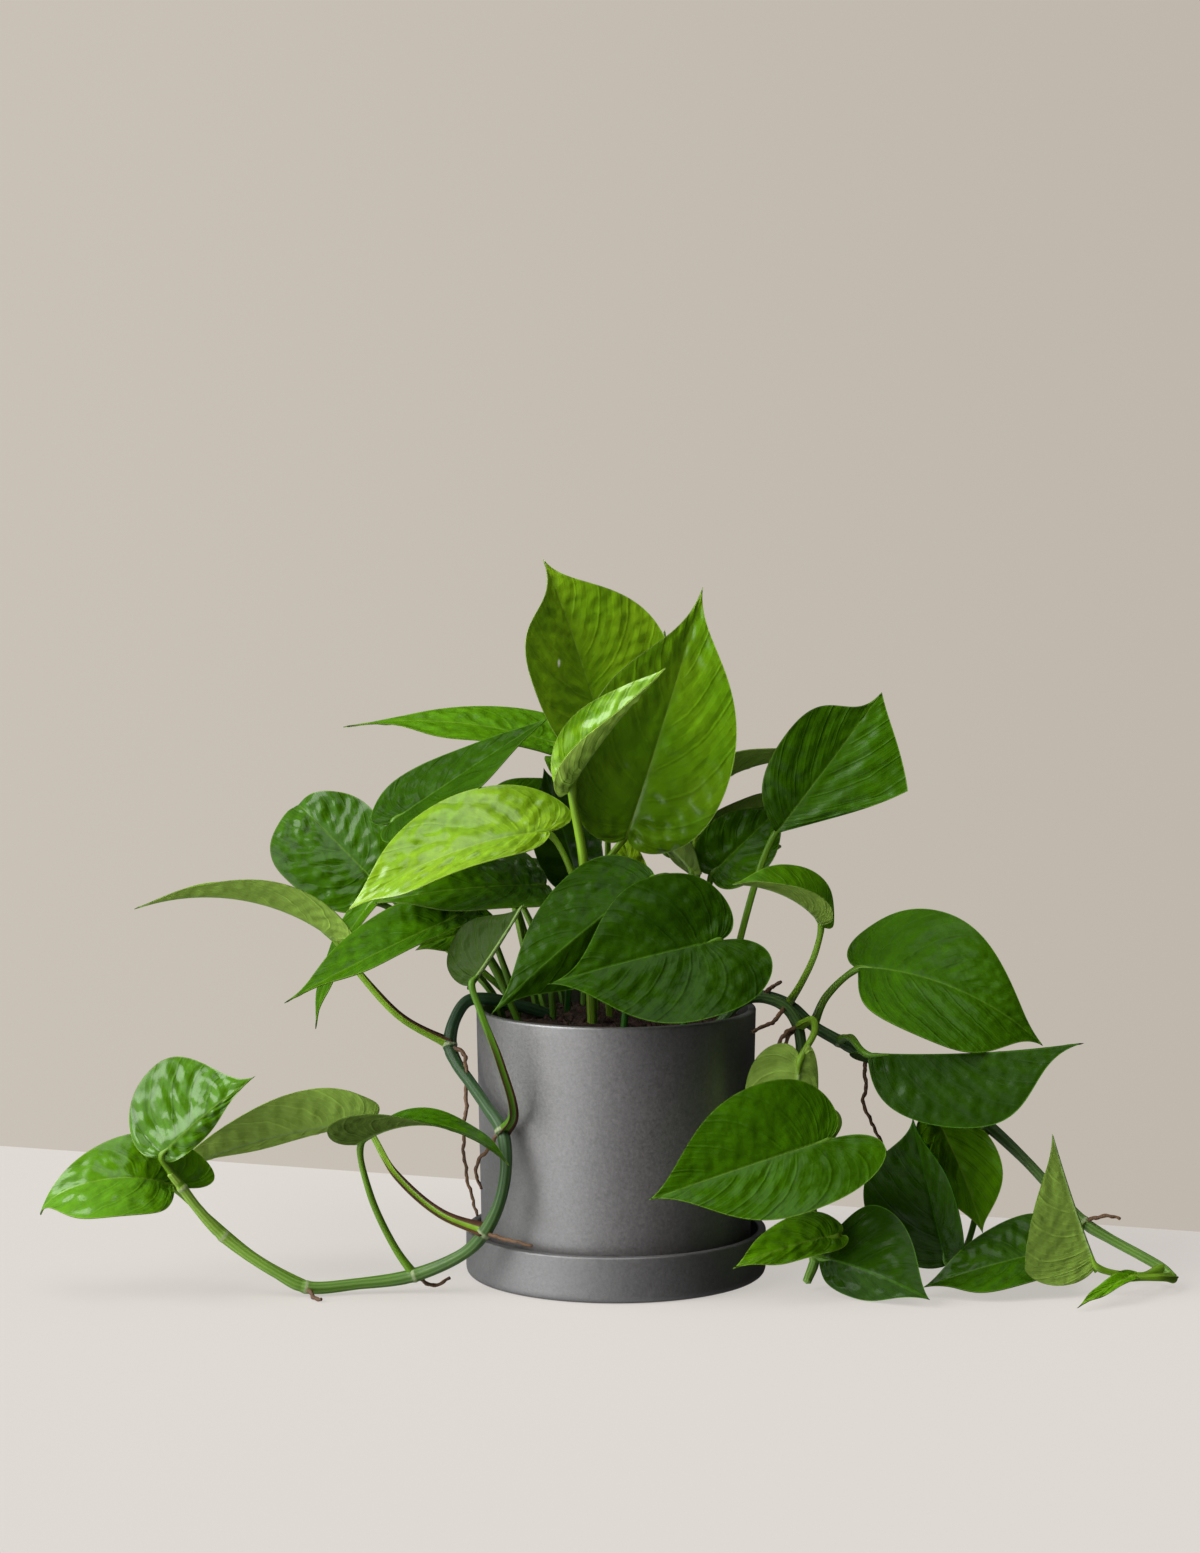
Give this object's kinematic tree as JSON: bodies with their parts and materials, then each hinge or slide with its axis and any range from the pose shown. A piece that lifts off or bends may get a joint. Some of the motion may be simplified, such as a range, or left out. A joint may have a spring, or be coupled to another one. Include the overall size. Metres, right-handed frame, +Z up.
{
  "type": "potted trailing houseplant",
  "caption": "Leafy trailing houseplant with glossy heart-shaped leaves, standing in a round ceramic pot on a matching saucer, with vines that hang over the rim and lie along the surface.",
  "frame": {"origin": "centre of the saucer's flat foot, on the surface the plant stands on", "axes": "+Z up, -Y towards the side with the trailing vines in front, the longer vines along -X and +X"},
  "size_m": [0.5191, 0.2407, 0.3321],
  "materials": {
    "stoneware": "matte, finely speckled",
    "soil": "crumbly peat",
    "leaf": "glossy, waxy",
    "young_leaf": "glossy, waxy",
    "vine": "satin, finely ridged"
  },
  "bodies": {
    "root": {"saucer": "stoneware", "pot": "stoneware", "soil": "soil", "left_vine": "vine", "right_vine": "vine", "hanging_vine": "vine", "crown_leaf_1": "leaf", "crown_leaf_2": "leaf", "crown_leaf_3": "young_leaf", "crown_leaf_4": "leaf", "crown_leaf_5": "leaf", "crown_leaf_6": "young_leaf", "crown_leaf_7": "leaf", "crown_leaf_8": "leaf", "crown_leaf_9": "leaf", "crown_leaf_10": "leaf", "crown_leaf_11": "leaf", "crown_leaf_12": "leaf", "crown_leaf_13": "leaf", "crown_leaf_14": "leaf", "crown_leaf_15": "leaf", "crown_leaf_16": "leaf", "crown_leaf_17": "leaf", "crown_leaf_18": "leaf", "crown_leaf_19": "leaf", "crown_leaf_20": "leaf", "crown_leaf_21": "leaf", "left_vine_leaf_1": "leaf", "left_vine_leaf_2": "leaf", "left_vine_leaf_3": "leaf", "left_vine_leaf_4": "leaf", "left_vine_leaf_5": "young_leaf", "left_vine_leaf_6": "leaf", "right_vine_leaf_1": "leaf", "right_vine_leaf_2": "leaf", "right_vine_leaf_3": "leaf", "right_vine_leaf_4": "leaf", "right_vine_leaf_5": "leaf", "right_vine_leaf_6": "leaf", "right_vine_leaf_7": "leaf", "right_vine_leaf_8": "leaf", "right_vine_leaf_9": "leaf", "right_vine_leaf_10": "leaf", "right_vine_leaf_11": "leaf", "right_vine_leaf_12": "leaf", "right_vine_leaf_13": "young_leaf", "back_leaf_1": "leaf", "back_leaf_2": "leaf", "back_leaf_3": "leaf", "back_leaf_4": "leaf", "back_leaf_5": "leaf", "back_leaf_6": "leaf"}
  },
  "joints": []
}
